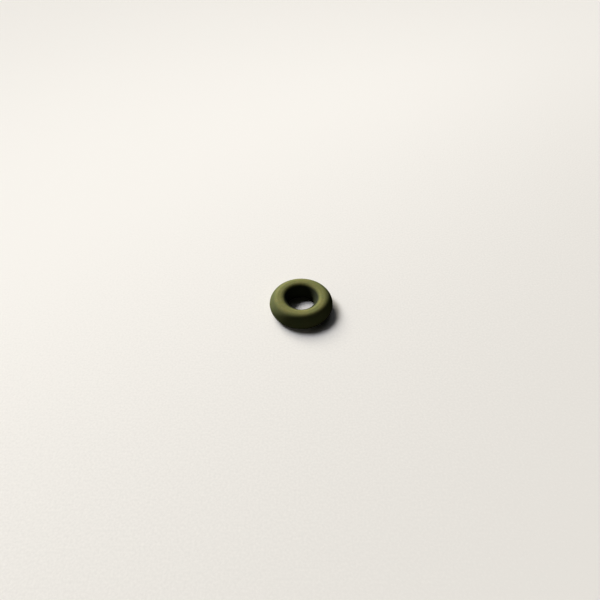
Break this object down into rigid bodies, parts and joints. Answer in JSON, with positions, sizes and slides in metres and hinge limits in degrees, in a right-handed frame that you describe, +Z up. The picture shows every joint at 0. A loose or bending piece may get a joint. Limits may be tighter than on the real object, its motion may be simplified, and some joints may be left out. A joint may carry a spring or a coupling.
{
  "type": "o-ring",
  "caption": "Small fat rubber o-ring of round section in matt olive green, which seals a shaft, plug or pipe fitting against its bore.",
  "frame": {"origin": "on the ring's axis, at the underside that it lies on", "axes": "+Z up along the ring's axis, square to the plane that the ring lies in; the ring is round, so +X and +Y are any two directions at right angles"},
  "size_m": [0.01, 0.01, 0.003],
  "materials": {
    "rubber": "matte"
  },
  "bodies": {
    "root": {"o_ring": "rubber"}
  },
  "joints": []
}
